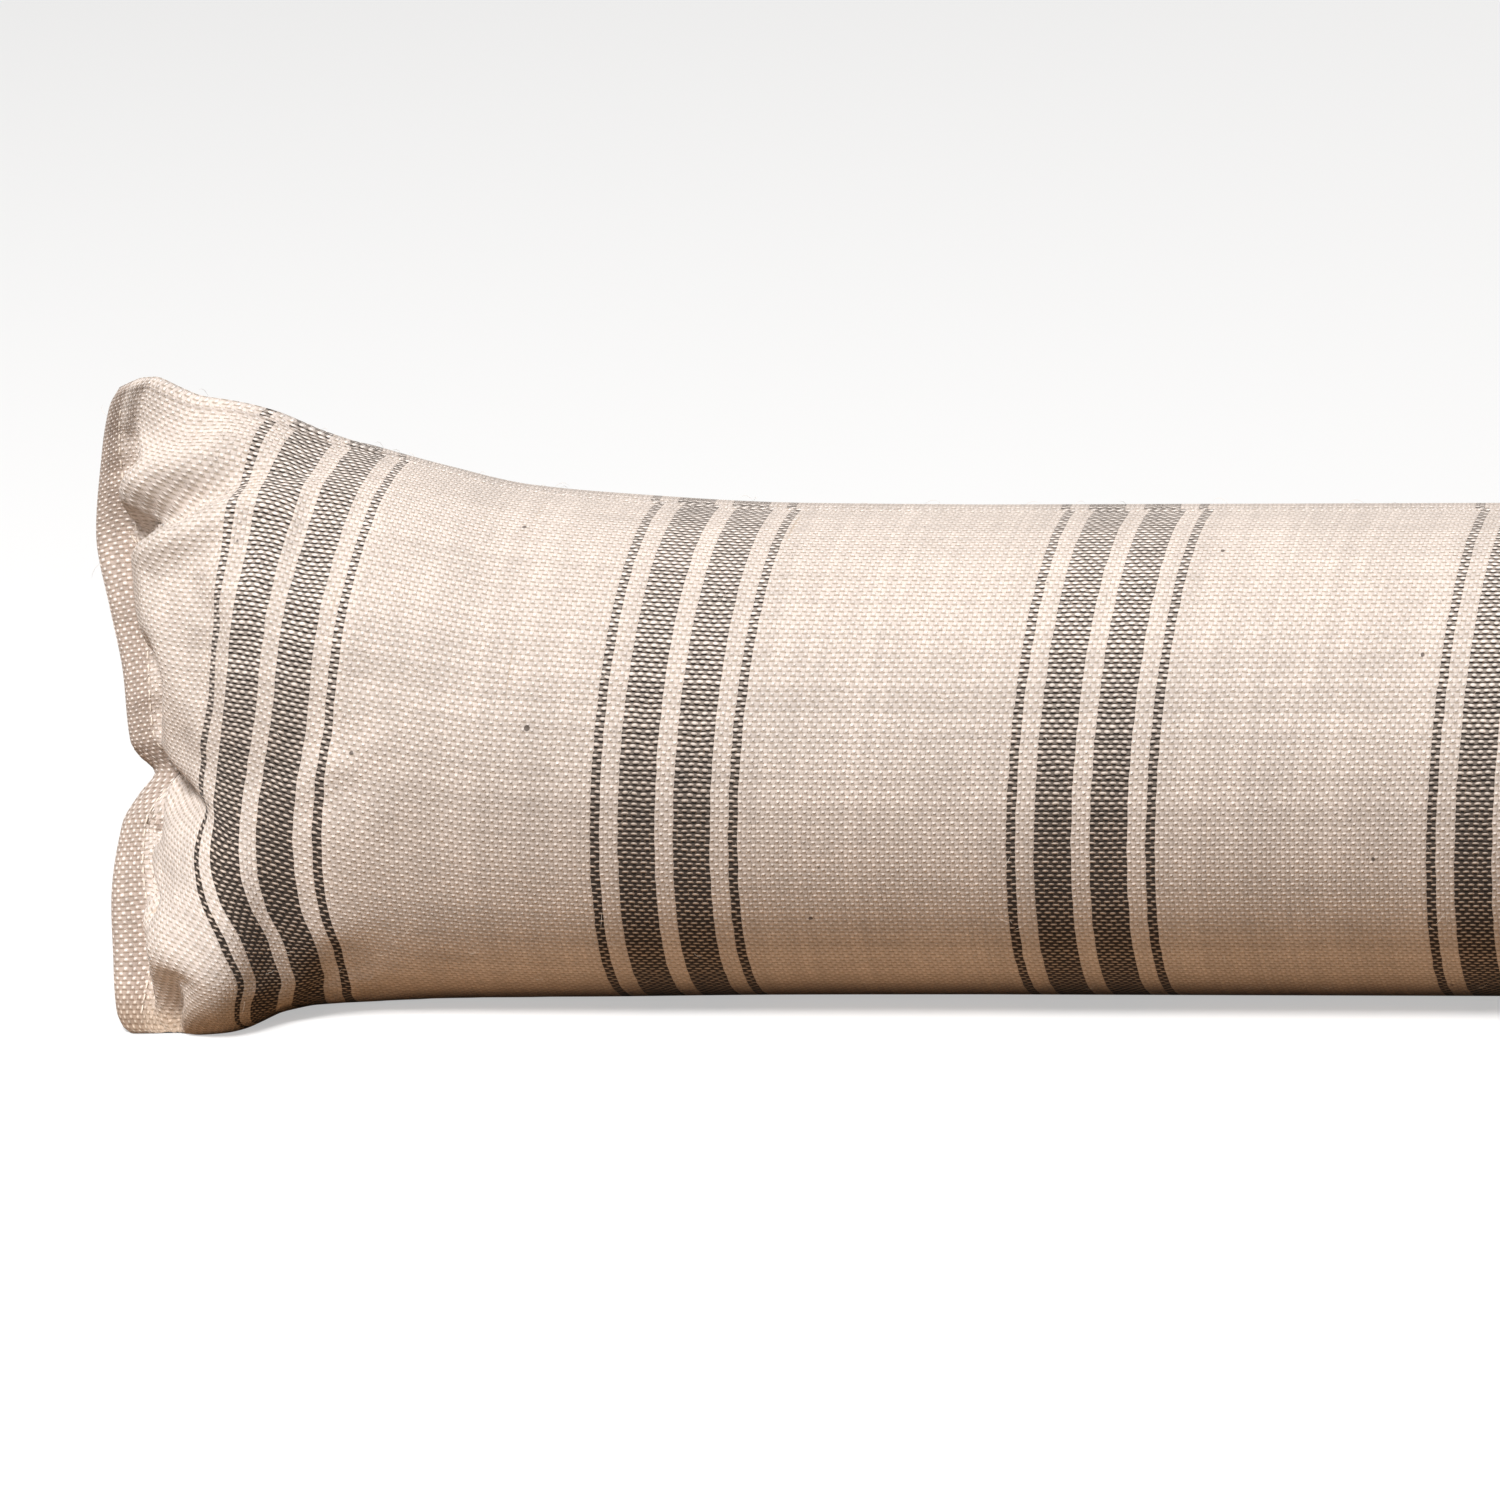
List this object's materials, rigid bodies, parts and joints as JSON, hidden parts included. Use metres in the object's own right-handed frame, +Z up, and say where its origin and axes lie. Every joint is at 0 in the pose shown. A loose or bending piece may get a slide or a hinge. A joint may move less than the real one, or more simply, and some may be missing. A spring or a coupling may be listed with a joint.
{
  "type": "draught excluder",
  "caption": "Long stuffed bolster of striped cloth, sewn flat at both ends like a pillow, which lies along the foot of a door to keep draughts out.",
  "frame": {"origin": "on the surface that the bolster lies on, under the middle of its length and depth", "axes": "+X along the bolster, towards its right end as seen from the front; -Y is its front; +Z is up"},
  "size_m": [0.892, 0.1294, 0.1625],
  "materials": {
    "striped_cloth": "plain-woven cotton and linen, cream with warm dark grey stripes that run round the bolster"
  },
  "bodies": {
    "root": {"bolster": "striped_cloth"}
  },
  "joints": []
}
